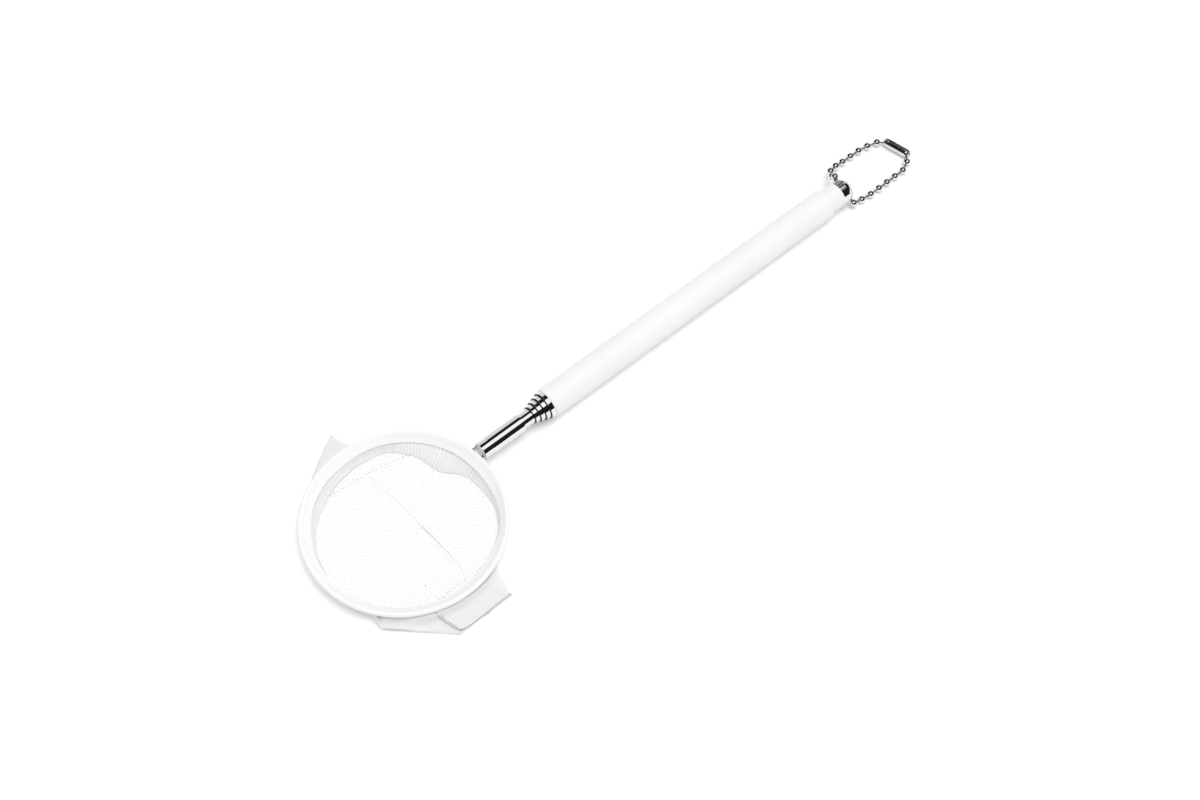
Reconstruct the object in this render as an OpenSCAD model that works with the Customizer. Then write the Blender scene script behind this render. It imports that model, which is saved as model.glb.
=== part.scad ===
// Telescopic aquarium fish net with a round hoop, lying as it does on a table.
// The rod runs along X with the handle towards +X, and the origin is on the rod's axis, midway along the grip.

/* [Handle] */
// Length of the white grip
grip_len = 150; // [120:1:200]
// Thickness of the grip's sleeve
grip_t = 0.57; // [0.4:0.01:2]
// Rounding at the grip's ends
grip_round = 0.8; // [0.3:0.1:1.2]
// Length of the white collar that shows behind the grip
collar_show = 6.9; // [5:0.1:14]
// Length of the collar's plug inside the outer tube
collar_plug = 9; // [6:0.5:14]
// Diameter of the chrome end cap
cap_d = 10.8; // [9.5:0.1:11]
// Length of the cap's straight rim
cap_rim = 3.1; // [2.5:0.1:5]
// Height of the cap's dome
cap_dome = 4.2; // [3.6:0.1:5]
// Diameter of the stem that holds the cap in the collar
cap_stem_d = 4; // [3:0.1:5]
// Length of the cap's stem
cap_stem_len = 7.5; // [5:0.5:10]
// Play of a bead in the cross hole that the chain runs through
cap_hole_play = 0.5; // [0.3:0.05:0.7]
// Distance of the cross hole behind the cap's front face
cap_hole_back = 4.4; // [3.6:0.1:4.9]
// Angle at which the turned cap has its cross hole
cap_hole_tilt = 25; // [15:1:30]

/* [Telescopic tubes] */
// Diameter of the thinnest tube
tube_d = 6.3; // [6.2:0.05:6.4]
// Growth in diameter from one tube to the next
tube_step = 1.35; // [1.3:0.01:1.4]
// Wall of every tube
tube_wall = 0.35; // [0.3:0.01:0.38]
// Length of each rim that shows ahead of the next tube
rim_show = 2.1; // [1.5:0.1:4]
// Length of a rolled rim
rim_len = 1.2; // [0.8:0.1:1.5]
// Length of thin tube that shows between the rims and the ferrule
neck_show = 5; // [2:0.1:12]
// Length of a friction spring
spring_len = 6; // [4:0.5:9]
// Thickness of a friction spring's strip
spring_t = 0.14; // [0.1:0.01:0.16]
// Slit along a friction spring
spring_slit = 1; // [0.6:0.1:1.4]
// Length of a tail stop's flange
stop_flange = 1.6; // [1:0.1:3]
// Length of a tail stop's spigot
stop_spigot = 3.4; // [2:0.1:6]

/* [Ferrule and hoop] */
// Length of the ferrule
ferrule_len = 19.6; // [16:0.1:26]
// Wall of the ferrule
ferrule_wall = 0.6; // [0.45:0.05:0.8]
// Length of the ferrule's crimped mouth
crimp_len = 4.2; // [3:0.1:6]
// Depth of the crimp
crimp_depth = 0.18; // [0.1:0.01:0.22]
// Outer diameter of the hoop over its hem
hoop_d = 80; // [60:1:120]
// Diameter of the hoop's wire
wire_d = 1.5; // [1.3:0.05:1.6]
// Distance of the ferrule's mouth outside the hoop's wire
hoop_standoff = 2.4; // [2.2:0.1:5]
// Sideways bend of the hoop at the ferrule
hoop_skew = 6.7; // [0:0.1:10]
// Bend radius where the wire leaves the ring
wire_bend = 1.6; // [1.4:0.05:1.8]
// Swell of the wire where two stretches of it meet
wire_swell = 0.06; // [0.04:0.01:0.08]
// Length of the wire legs inside the ferrule
leg_len = 8.5; // [6:0.1:10]

/* [Net] */
// Thickness of the hem's cloth round the wire
hem_t = 0.25; // [0.2:0.01:0.4]
// Width of the hem from the wire to its stitched edge
hem_w = 3; // [2.6:0.1:6]
// How far the hem's stitched edge hangs below the wire
hem_drop = 2.4; // [1.5:0.1:2.8]
// Thickness of the hem's stitched edge
hem_edge = 0.7; // [0.5:0.05:1]
// Thickness of the bag's solid
bag_t = 0.8; // [0.6:0.1:1.2]
// Height of the folded flaps beside the hoop
flap_h = 1.8; // [1.2:0.1:2.4]

/* [Ball chain] */
// Diameter of a bead
bead_d = 3.2; // [3.1:0.05:3.3]
// Wall of a bead
bead_wall = 0.2; // [0.15:0.01:0.25]
// Distance from bead to bead
bead_pitch = 4.7; // [4.6:0.05:4.8]
// Diameter of a link's wire
link_d = 0.66; // [0.5:0.02:0.7]
// Diameter of a link's heads
link_head_d = 1.04; // [1:0.02:1.1]
// Distance between the middles of the two heads in a bead
head_gap = 1.65; // [1.55:0.05:1.8]
// Extra length of a link where the chain folds
fold_len = 0.5; // [0.4:0.05:0.6]
// Play of a link's wire in a bead's hole
link_play = 0.14; // [0.12:0.01:0.15]
// Wall of the connector
conn_wall = 0.25; // [0.2:0.01:0.35]
// Width of the connector's slot
conn_slot = 1.5; // [1.2:0.1:2]

/* [Clearances] */
// Gap between pieces that are pressed or glued together
fit_gap = 0.03; // [0.01:0.01:0.05]
// Radial gap between pieces that slide or turn
run_gap = 0.05; // [0.02:0.01:0.06]
// Gap round soft pieces
soft_gap = 0.3; // [0.2:0.05:0.5]
// Gap left at the ends of the tubes' travel
end_gap = 0.5; // [0.3:0.1:1]
// Overrun of a cut past a surface
over = 0.5; // [0.2:0.1:1]

/* [Hidden] */
$fn = 64;

// Tubes are numbered from the thinnest, and the fifth is the fixed outer one
tube_count = 5;
function tube_r(i) = (tube_d + (i - 1) * tube_step) / 2;
function bore_r(i) = tube_r(i) - tube_wall;

// The table lies under the grip
grip_r = tube_r(tube_count) + fit_gap + grip_t;
table_z = -grip_r;
grip_front = -grip_len / 2;
grip_rear = grip_len / 2;
function front_x(i) = i == 1 ? core_rear + end_gap : grip_front - (tube_count + 1 - i) * rim_show;
outer_tail = grip_rear - end_gap;
stop_len = stop_flange + stop_spigot;
bow_share = 0.4;
function tail_x(i) = outer_tail - collar_plug - end_gap - stop_flange - (tube_count - 1 - i) * (stop_len + end_gap);

// Collar and cap
collar_r = bore_r(tube_count) - fit_gap;
cap_front = grip_rear + collar_show;
cap_rear = cap_front + cap_rim + cap_dome;
dome_r = (cap_d * cap_d / 4 + cap_dome * cap_dome) / (2 * cap_dome);
hole_x = cap_front + cap_hole_back;
cap_hole_r = (bead_d + cap_hole_play) / 2;
hole_dir = [0, cos(cap_hole_tilt), sin(cap_hole_tilt)];

// Ferrule, hoop and hem
ferrule_rear = grip_front - (tube_count - 1) * rim_show - neck_show;
mouth_x = ferrule_rear - ferrule_len;
ferrule_bore = tube_r(1) + run_gap;
ferrule_r = ferrule_bore + ferrule_wall;
leg_off = ferrule_bore - wire_d / 2 - run_gap;
core_rear = mouth_x + leg_len;
hem_tube = wire_d / 2 + fit_gap + hem_t;
ring_r = hoop_d / 2 - hem_tube;
hem_slope = atan2(hem_drop, hem_w);
hem_mid = hem_tube - hem_t / 2;
hoop_reach = ring_r + hoop_standoff;
hoop_x = mouth_x - hoop_reach * cos(hoop_skew);
hoop_y = -hoop_reach * sin(hoop_skew);

// Bag: the flaps' outlines are shares of the hoop's radius, measured from the hoop's centre
bag_wall_r = ring_r - hem_w + hem_edge + soft_gap;
bag_top = -table_z - hem_drop - hem_edge - soft_gap;
left_flap_share = [[-0.80, 0.50], [-0.66, 0.80], [-0.15, 1.15], [0.09, 1.285], [0.115, 1.14],
    [0.17, 1.03], [0.45, 0.76]];
right_flap_share = [[-0.80, -0.46], [-0.81, -0.70], [-0.55, -0.95], [-0.29, -1.20],
    [0.33, -1.20], [0.31, -1.06], [0.46, -0.78]];

// Chain: places are shares of the bead pitch along X and Y from the cross hole and up from the table
bead_r = bead_d / 2;
bead_hole_r = link_d / 2 + link_play;
link_len = bead_pitch - head_gap;
conn_r = bead_r + run_gap + conn_wall;
hole_share = [-0.50, 0.47, 1.40];
low_share = [[0.12, -1.24, 0.20], [1.04, -1.32, 0], [2.05, -1.42, 0], [3.07, -1.42, 0], [4.09, -1.41, 0],
    [5.11, -1.40, 0], [6.14, -1.38, 0], [7.085, -0.957, 0.03], [7.72, -0.19, 0]];
up_share = [[0.277, 1.81, 0.915], [0.81, 2.51, 0.53], [1.72, 2.745, 0.30], [2.66, 2.83, 0.03], [3.66, 2.83, 0],
    [4.66, 2.81, 0], [5.64, 2.68, 0], [6.60, 2.404, 0.03], [7.30, 1.745, 0]];
rest_z = table_z + bead_r;
conn_lift = conn_r - bead_r;
ends = len(low_share) - 1;
function place(s, lift) = [hole_x + s.x * bead_pitch, s.y * bead_pitch, rest_z + s.z * bead_pitch + lift];
low = [for (i = [0:ends]) place(low_share[i], i == ends ? conn_lift : 0)];
up = [for (i = [0:ends]) place(up_share[i], i == ends ? conn_lift : 0)];
hole = [for (s = hole_share) [hole_x, 0, 0] + hole_dir * s * bead_pitch];
function unit(v) = v / norm(v);

// Turns a shape that stands on Z so that it lies on X
module along_x(x = 0) translate([x, 0, 0]) rotate([0, 90, 0]) children();

// A round bar along X
module bar(x0, x1, r) along_x(x0) cylinder(r = r, h = x1 - x0);

// A tube along X
module pipe(x0, x1, r_out, r_in) difference() {
    bar(x0, x1, r_out);
    bar(x0 - over, x1 + over, r_in);
}

// Turns a shape that stands on Z towards a direction
module towards(p, q) {
    d = unit(q - p);
    translate(p) rotate([0, acos(d.z), atan2(d.y, d.x)]) children();
}

// A ball whose seam is turned to a direction where nothing crosses it
module ball(p, r, turn) translate(p) rotate([0, 0, turn]) sphere(r = r);

// A round rod from point to point
module rod(p, q, r) towards(p, q) cylinder(r = r, h = norm(q - p));

module grip_sleeve() color("white") difference() {
    along_x() rotate_extrude() difference() {
        translate([0, grip_front]) square([grip_r, grip_len]);
        translate([grip_r - grip_round, grip_rear - grip_round]) corner_cut(grip_round);
        translate([grip_r - grip_round, grip_front + grip_round]) mirror([0, 1]) corner_cut(grip_round);
    }
    bar(grip_front - over, grip_rear + over, tube_r(tube_count) + fit_gap);
}

// What a rounding takes off a square corner
module corner_cut(r) difference() {
    square(r + over);
    circle(r = r);
}

// A drawn tube: its front rim is rolled in to guide the next thinner tube
module drawn_tube(i, x0, x1) color("silver") {
    neck_r = tube_r(i - 1) + run_gap;
    roll = tube_r(i) - neck_r;
    along_x() rotate_extrude() difference() {
        translate([0, x0]) square([tube_r(i), x1 - x0]);
        translate([0, x0 - over]) square([neck_r, rim_len + 2 * over]);
        translate([0, x0 + rim_len]) square([bore_r(i), x1 - x0]);
        translate([tube_r(i) - roll, x0 + roll]) mirror([0, 1]) corner_cut(roll);
    }
}

module plain_tube(i, x0, x1) color("silver") pipe(x0, x1, tube_r(i), bore_r(i));

// A split sleeve, bowed so that its middle bears on the outer tube's bore
module friction_spring(i) color("gold") {
    x1 = tail_x(i) - run_gap;
    x0 = x1 - spring_len;
    r_in = tube_r(i) + fit_gap;
    r_out = bore_r(i + 1) - fit_gap;
    difference() {
        along_x() rotate_extrude() polygon([
            [r_in, x0], [r_in + spring_t, x0],
            [r_out, x0 + spring_len * bow_share], [r_out, x1 - spring_len * bow_share],
            [r_in + spring_t, x1], [r_in, x1],
            [r_out - spring_t, x1 - spring_len * bow_share], [r_out - spring_t, x0 + spring_len * bow_share]]);
        translate([x0 - over, -spring_slit / 2, 0])
            cube([spring_len + 2 * over, spring_slit, r_out + over]);
    }
}

// A flanged bush in the tube's tail: the flange keeps the friction spring on the tube
module tail_stop(i) color("gold") difference() {
    union() {
        bar(tail_x(i), tail_x(i) + stop_flange, bore_r(i + 1) - run_gap);
        bar(tail_x(i) - stop_spigot, tail_x(i) + fit_gap, bore_r(i) - fit_gap);
    }
    bar(tail_x(i) - stop_spigot - over, tail_x(i) + stop_flange + over, bore_r(i) / 2);
}

module outer_tube() drawn_tube(tube_count, front_x(tube_count), outer_tail);
module section_4_tube() drawn_tube(4, front_x(4), tail_x(4));
module section_4_spring() friction_spring(4);
module section_4_stop() tail_stop(4);
module section_3_tube() drawn_tube(3, front_x(3), tail_x(3));
module section_3_spring() friction_spring(3);
module section_3_stop() tail_stop(3);
module section_2_tube() drawn_tube(2, front_x(2), tail_x(2));
module section_2_spring() friction_spring(2);
module section_2_stop() tail_stop(2);
module section_1_tube() plain_tube(1, front_x(1), tail_x(1));
module section_1_spring() friction_spring(1);
module section_1_stop() tail_stop(1);

module end_collar() color("white") difference() {
    bar(outer_tail - collar_plug, cap_front, collar_r);
    bar(cap_front - cap_stem_len - end_gap, cap_front + over, cap_stem_d / 2 + fit_gap);
}

module end_cap() color("silver") difference() {
    union() {
        along_x() rotate_extrude() intersection() {
            union() {
                translate([0, cap_rear - dome_r]) circle(r = dome_r);
                translate([0, cap_front]) square([dome_r, cap_rear - dome_r - cap_front]);
            }
            translate([0, cap_front + fit_gap]) square([cap_d / 2, cap_rim + cap_dome]);
        }
        bar(cap_front - cap_stem_len, cap_front + cap_rim, cap_stem_d / 2);
    }
    rod([hole_x, 0, 0] - hole_dir * cap_d, [hole_x, 0, 0] + hole_dir * cap_d, cap_hole_r);
}

module ferrule() color("silver") difference() {
    union() {
        bar(mouth_x, mouth_x + crimp_len + over, ferrule_r - crimp_depth);
        bar(mouth_x + crimp_len, ferrule_rear, ferrule_r);
    }
    bar(mouth_x - over, ferrule_rear + over, ferrule_bore);
}

// Fills the ferrule's mouth between the wire legs
module wire_core() color("gray") difference() {
    bar(mouth_x + run_gap, core_rear, ferrule_bore - fit_gap);
    for (side = [-1, 1]) {
        bar_at(mouth_x - over, core_rear + over, side * leg_off, wire_d / 2 + fit_gap);
        translate([mouth_x - over, side < 0 ? -2 * leg_off : leg_off, -wire_d / 2 - fit_gap])
            cube([leg_len + 2 * over, leg_off, wire_d + 2 * fit_gap]);
    }
}

module bar_at(x0, x1, y, r) translate([0, y, 0]) bar(x0, x1, r);

// Places a shape in the hoop's own frame: centre at the origin, ferrule towards +X
module in_hoop() translate([hoop_x, hoop_y, 0]) rotate([0, 0, hoop_skew]) children();

// Centre of the bend between a leg and the ring, and the ring's direction to it
function bend_at(side) = [hoop_x + sqrt(pow(ring_r + wire_bend, 2) - pow(side * (leg_off + wire_bend) - hoop_y, 2)),
    side * (leg_off + wire_bend), 0];
function bend_turn(side) = atan2(bend_at(side).y - hoop_y, bend_at(side).x - hoop_x);

// A joint between two stretches of the wire that leave it at right angles to the turn's direction
module swell(p, turn) ball(p, wire_d / 2 + wire_swell, turn);

// A stretch of wire round a centre, from one direction to another
module arc(c, r, a0, a1) {
    short = asin(wire_swell / r);
    translate(c) rotate([0, 0, a0 + short]) rotate_extrude(angle = a1 - a0 - 2 * short)
        translate([r, 0]) circle(r = wire_d / 2);
}

module hoop_wire() color("silver") {
    for (side = [-1, 1]) {
        c = bend_at(side);
        knee = c - [0, side * wire_bend, 0];
        bar_at(knee.x + wire_swell, core_rear - run_gap, knee.y, wire_d / 2);
        swell(knee, 90);
        swell([hoop_x, hoop_y, 0] + ring_r * [cos(bend_turn(side)), sin(bend_turn(side)), 0], bend_turn(side));
        if (side > 0) arc(c, wire_bend, 180 + bend_turn(side), 270);
        if (side < 0) arc(c, wire_bend, 90, 180 + bend_turn(side));
    }
    arc([hoop_x, hoop_y, 0], ring_r, bend_turn(1), 360 + bend_turn(-1));
}

// Cloth wrapped round the wire and sewn to the bag's edge inside and below it
module hem() color("white") in_hoop() difference() {
    rotate_extrude() difference() {
        union() {
            translate([ring_r, 0]) circle(r = hem_tube);
            polygon([
                [ring_r + hem_mid * sin(hem_slope), -hem_mid * cos(hem_slope)],
                [ring_r - hem_w + hem_edge * sin(hem_slope), -hem_drop - hem_edge * cos(hem_slope)],
                [ring_r - hem_w, -hem_drop],
                [ring_r - hem_mid * sin(hem_slope), hem_mid * cos(hem_slope)]]);
        }
        translate([ring_r, 0]) circle(r = wire_d / 2 + fit_gap);
    }
    translate([ring_r - hem_tube - over, -leg_off - wire_bend - wire_d, -wire_d / 2 - fit_gap])
        cube([2 * (hem_tube + over), 2 * (leg_off + wire_bend + wire_d), hem_tube + wire_d]);
}

// The collapsed bag as one closed solid: a floor, its wall up to the hem, and the folded flaps
module net_bag() color("whitesmoke") translate([hoop_x, hoop_y, table_z]) {
    difference() {
        union() {
            linear_extrude(height = flap_h) {
                polygon(left_flap_share * hoop_d / 2);
                polygon(right_flap_share * hoop_d / 2);
            }
            cylinder(r = bag_wall_r, h = bag_top);
        }
        translate([0, 0, bag_t]) cylinder(r = bag_wall_r - bag_t, h = bag_top);
    }
}

// A hollow bead, drilled towards each point of the list
module bead(c, targets) difference() {
    turn = atan2(targets[0].y - c.y, targets[0].x - c.x) + 90;
    ball(c, bead_r, turn);
    ball(c, bead_r - bead_wall, turn);
    for (t = targets) towards(c, t) cylinder(r = bead_hole_r, h = bead_d);
}

// A dumbbell wire between two beads; each head sits inside its bead
module link(p, q, extra = 0) {
    long = link_len + extra;
    towards((p + q - unit(q - p) * link_len) / 2, q) rotate_extrude() intersection() {
        union() {
            circle(r = link_head_d / 2);
            translate([0, long]) circle(r = link_head_d / 2);
            square([link_d / 2, long]);
        }
        translate([0, -link_head_d]) square([link_head_d, long + 2 * link_head_d]);
    }
}

module strand_beads(strand, from, to, before) color("silver") for (i = [from:to])
    bead(strand[i], concat([i == 0 ? before : strand[i - 1]], i == ends ? [] : [strand[i + 1]]));

// Links from bead to bead; the last one reaches deeper into the next body's bead
module strand_links(strand, from, to) color("silver") for (i = [from:to])
    link(strand[i], strand[i + 1], i == to && to < ends - 1 ? fold_len : 0);

module chain_lead_beads() {
    strand_beads(low, 0, 1, hole[0]);
    strand_beads(up, 0, 1, hole[2]);
    color("silver") {
        bead(hole[0], [low[0], hole[1]]);
        bead(hole[1], [hole[0], hole[2]]);
        bead(hole[2], [hole[1], up[0]]);
    }
}

module chain_lead_links() {
    strand_links(low, 0, 1);
    strand_links(up, 0, 1);
    color("silver") {
        link(low[0], hole[0]);
        link(hole[0], hole[1]);
        link(hole[1], hole[2]);
        link(hole[2], up[0]);
    }
}

module chain_mid_beads() {
    strand_beads(low, 2, 4, low[1]);
    strand_beads(up, 2, 4, up[1]);
}

module chain_mid_links() {
    strand_links(low, 2, 4);
    strand_links(up, 2, 4);
}

module chain_far_beads() {
    strand_beads(low, 5, ends, low[4]);
    strand_beads(up, 5, ends, up[4]);
}

module chain_far_links() {
    strand_links(low, 5, ends - 1);
    strand_links(up, 5, ends - 1);
}

// Half the outline of a bar with round ends
module capsule_half(r, gap) intersection() {
    union() {
        circle(r = r);
        translate([0, gap]) circle(r = r);
        translate([-r, 0]) square([2 * r, gap]);
    }
    translate([0, -2 * r]) square([2 * r, gap + 4 * r]);
}

// A slotted sleeve with rounded ends that holds both end beads
module chain_connector() color("silver") {
    a = low[ends];
    b = up[ends];
    gap = norm(b - a);
    difference() {
        towards(a, b) rotate_extrude() difference() {
            capsule_half(conn_r, gap);
            capsule_half(conn_r - conn_wall, gap);
        }
        towards(a, b) translate([-conn_r - over, -conn_slot / 2, -conn_r - over])
            cube([conn_r + over, conn_slot, gap + 2 * (conn_r + over)]);
        towards(a, low[ends - 1]) cylinder(r = bead_hole_r + run_gap, h = bead_d);
        towards(b, up[ends - 1]) cylinder(r = bead_hole_r + run_gap, h = bead_d);
    }
}

grip_sleeve();
outer_tube();
end_collar();
end_cap();
section_4_tube();
section_4_spring();
section_4_stop();
section_3_tube();
section_3_spring();
section_3_stop();
section_2_tube();
section_2_spring();
section_2_stop();
section_1_tube();
section_1_spring();
section_1_stop();
ferrule();
wire_core();
hoop_wire();
hem();
net_bag();
chain_lead_beads();
chain_lead_links();
chain_mid_beads();
chain_mid_links();
chain_far_beads();
chain_far_links();
chain_connector();
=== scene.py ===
"""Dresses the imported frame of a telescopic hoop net: cloth, stitching, plating and the studio round it."""

import math
import bpy
import numpy as np
from bpy.props import FloatProperty, FloatVectorProperty, IntProperty, PointerProperty
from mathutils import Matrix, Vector, noise


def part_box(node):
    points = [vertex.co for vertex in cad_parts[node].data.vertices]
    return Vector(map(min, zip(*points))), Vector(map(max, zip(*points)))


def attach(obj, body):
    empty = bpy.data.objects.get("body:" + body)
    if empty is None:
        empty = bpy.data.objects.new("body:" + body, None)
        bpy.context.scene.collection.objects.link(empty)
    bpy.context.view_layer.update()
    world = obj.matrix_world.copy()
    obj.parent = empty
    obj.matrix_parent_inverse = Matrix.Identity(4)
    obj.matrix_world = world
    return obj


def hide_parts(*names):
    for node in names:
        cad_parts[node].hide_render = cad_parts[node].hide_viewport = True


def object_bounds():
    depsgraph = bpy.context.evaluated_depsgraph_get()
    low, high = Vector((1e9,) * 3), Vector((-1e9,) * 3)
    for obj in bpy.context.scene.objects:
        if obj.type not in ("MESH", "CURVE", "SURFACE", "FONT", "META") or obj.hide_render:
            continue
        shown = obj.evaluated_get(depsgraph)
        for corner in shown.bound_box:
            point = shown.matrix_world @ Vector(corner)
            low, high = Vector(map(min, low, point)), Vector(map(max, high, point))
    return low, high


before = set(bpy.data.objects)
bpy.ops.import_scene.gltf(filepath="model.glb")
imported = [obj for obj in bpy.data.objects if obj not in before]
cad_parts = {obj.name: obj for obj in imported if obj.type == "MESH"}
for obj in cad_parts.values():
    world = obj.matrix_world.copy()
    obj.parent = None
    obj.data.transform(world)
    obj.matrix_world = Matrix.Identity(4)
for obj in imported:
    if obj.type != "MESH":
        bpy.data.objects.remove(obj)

bl_info = {
    "name": "Hoop Fish Net",
    "version": (1, 0, 0),
    "blender": (4, 5, 0),
    "location": "3D View > Sidebar > Fish Net",
    "description": "Dresses a telescopic hoop net with its cloth, stitching and finishes",
    "category": "Add Mesh",
}

MM = 0.001
CAD_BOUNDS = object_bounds()
HOOP_LOW, HOOP_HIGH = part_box("hem")
HOOP_X = HOOP_LOW.x + (HOOP_HIGH.y - HOOP_LOW.y) / 2
HOOP_Y = (HOOP_LOW.y + HOOP_HIGH.y) / 2
TABLE_Z = CAD_BOUNDS[0].z
HEM_OUTER = (HOOP_HIGH.y - HOOP_LOW.y) / 2
# The hem's tube round the wire, and the circle that the wire follows
HEM_TUBE = 1.03 * MM
WIRE_RING = HEM_OUTER - HEM_TUBE
# How closely folded layers of the mesh cover each other, where 1 is a closed cloth
FOLDED_COVER = 0.94
# The flat cut of the bag: the mouth's girth by the depth with half the boxed bottom
BAG_FLAT = (0.240, 0.055)
# Outlines of the two folded flaps, as shares of the hoop's radius from its centre
LEFT_FLAP = [(-0.80, 0.50), (-0.66, 0.80), (-0.15, 1.15), (0.09, 1.285), (0.115, 1.14), (0.17, 1.03),
             (0.45, 0.76)]
RIGHT_FLAP = [(-0.80, -0.46), (-0.81, -0.70), (-0.55, -0.95), (-0.29, -1.20), (0.33, -1.20), (0.31, -1.06),
              (0.46, -0.78)]
# How far the slack wall comes in from the hem beside the rod: (direction in degrees, millimetres)
GATHER = [(-26, 0.0), (-16, 0.8), (-8, 1.8), (2, 2.2), (9, 3.4), (16, 5.6), (23, 7.0), (33, 5.8), (43, 3.6),
          (55, 1.4), (66, 0.0)]
# Lines of the bottom's seams, in millimetres from the hoop's centre
UPPER_SEAM = [(3.4, 28.2), (4.1, 20.0), (4.8, 13.1), (5.4, -3.7)]
MIDDLE_SEAM = [(5.4, -3.7), (5.8, -12.0), (6.1, -20.1)]
LOWER_SEAM = [(6.1, -20.1), (5.8, -25.0), (5.0, -30.0)]
SHORT_SEAM = [(-8.8, -23.9), (-10.4, -26.6), (-11.9, -29.4)]
LEFT_SEAM = [(-20.0, 30.0), (-10.0, 29.5), (3.4, 28.2), (12.0, 26.8), (23.5, 24.0)]
RIGHT_SEAM = [(-14.0, -32.3), (-4.8, -32.0), (2.6, -31.9), (11.1, -31.6)]
FLOOR_SEAMS = (UPPER_SEAM, MIDDLE_SEAM, LOWER_SEAM, SHORT_SEAM, LEFT_SEAM, RIGHT_SEAM)
# The right flap's upper layer: its inner and outer edges, and the lines that its border follows
FLAP_INNER = [(-14.4, -34.6), (-6.0, -36.6), (2.0, -37.0), (9.5, -36.4), (15.5, -34.8)]
FLAP_OUTER = [(-10.6, -47.4), (-6.0, -47.9), (1.0, -47.8), (7.0, -47.7), (12.9, -47.6)]
FLAP_KNOT = [(0.5, -48.5), (1.9, -48.6)]
FLAP_SIDE = [(-14.2, -36.4), (-13.0, -40.6), (-11.9, -44.4), (-10.9, -46.6), (-9.4, -47.7)]
LOWER_EDGE = [(-31.6, -28.2), (-25.0, -34.6), (-18.0, -41.4), (-11.6, -47.2)]
UPPER_EDGE = [(-25.6, 32.4), (-16.0, 38.6), (-6.2, 45.4), (-1.0, 48.8), (3.2, 50.6)]


class FishNetCloth(bpy.types.PropertyGroup):
    """Sizes of the hem and the mesh bag."""

    mesh_pitch: FloatProperty(
        name="Mesh pitch", description="Distance from thread to thread in the mesh",
        default=0.80 * MM, min=0.3 * MM, max=3 * MM, unit="LENGTH", precision=5)
    mesh_thread: FloatProperty(
        name="Mesh thread", description="Thickness of the mesh's thread as a share of its pitch",
        default=0.22, min=0.1, max=0.9)
    columns: IntProperty(
        name="Columns", description="Steps round the bag", default=1200, min=180, max=1440)
    band_width: FloatProperty(
        name="Hem band", description="Width of the hem's sewn band inside the wire",
        default=3.4 * MM, min=2 * MM, max=8 * MM, unit="LENGTH", precision=5)
    band_drop: FloatProperty(
        name="Hem drop", description="How far the band's edge hangs below the wire",
        default=1.9 * MM, min=0, max=6 * MM, unit="LENGTH", precision=5)
    pucker: FloatProperty(
        name="Pucker", description="Depth of the hem's puckers",
        default=0.16 * MM, min=0, max=1 * MM, unit="LENGTH", precision=5)
    gather: FloatProperty(
        name="Gather", description="Share of the slack wall's fold beside the rod",
        default=1.0, min=0, max=1.4)
    pleats: IntProperty(
        name="Pleats", description="Fine pleats round the gathered wall", default=176, min=60, max=400)
    stitch_length: FloatProperty(
        name="Stitch length", description="Length of a stitch", default=1.35 * MM,
        min=0.5 * MM, max=4 * MM, unit="LENGTH", precision=5)
    stitch_step: FloatProperty(
        name="Stitch step", description="Distance from stitch to stitch", default=1.9 * MM,
        min=0.6 * MM, max=6 * MM, unit="LENGTH", precision=5)
    thread_radius: FloatProperty(
        name="Thread radius", description="Radius of the sewing thread", default=0.12 * MM,
        min=0.05 * MM, max=0.5 * MM, unit="LENGTH", precision=5)


class FishNetColours(bpy.types.PropertyGroup):
    """Colours of the finishes."""

    cloth: FloatVectorProperty(
        name="Cloth", description="Colour of the mesh", subtype="COLOR", size=3,
        default=(0.98, 0.982, 0.985), min=0, max=1)
    tape: FloatVectorProperty(
        name="Hem tape", description="Colour of the hem", subtype="COLOR", size=3,
        default=(0.978, 0.979, 0.98), min=0, max=1)
    grip: FloatVectorProperty(
        name="Grip", description="Colour of the grip's sleeve", subtype="COLOR", size=3,
        default=(0.955, 0.955, 0.955), min=0, max=1)
    plate: FloatVectorProperty(
        name="Plating", description="Colour of the bright plating", subtype="COLOR", size=3,
        default=(0.93, 0.93, 0.94), min=0, max=1)


class FishNetStage(bpy.types.PropertyGroup):
    """Light and view."""

    light: FloatProperty(
        name="Key light", description="Strength of the soft light overhead", default=1.38, min=0, max=10)
    fill: FloatProperty(
        name="Fill light", description="Strength of the light from all round", default=0.62, min=0, max=4)
    lens: FloatProperty(
        name="Lens", description="Focal length in millimetres", default=61.56, min=20, max=200)
    camera_place: FloatVectorProperty(
        name="Camera", description="Place of the camera", subtype="TRANSLATION", size=3, unit="LENGTH",
        default=(-0.33203, -0.33214, 0.68115), precision=5)
    camera_aim: FloatVectorProperty(
        name="Aim", description="Point on the table at the view's centre", subtype="TRANSLATION", size=3,
        unit="LENGTH", default=(-0.05548, -0.00921, -0.00635), precision=5)


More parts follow.
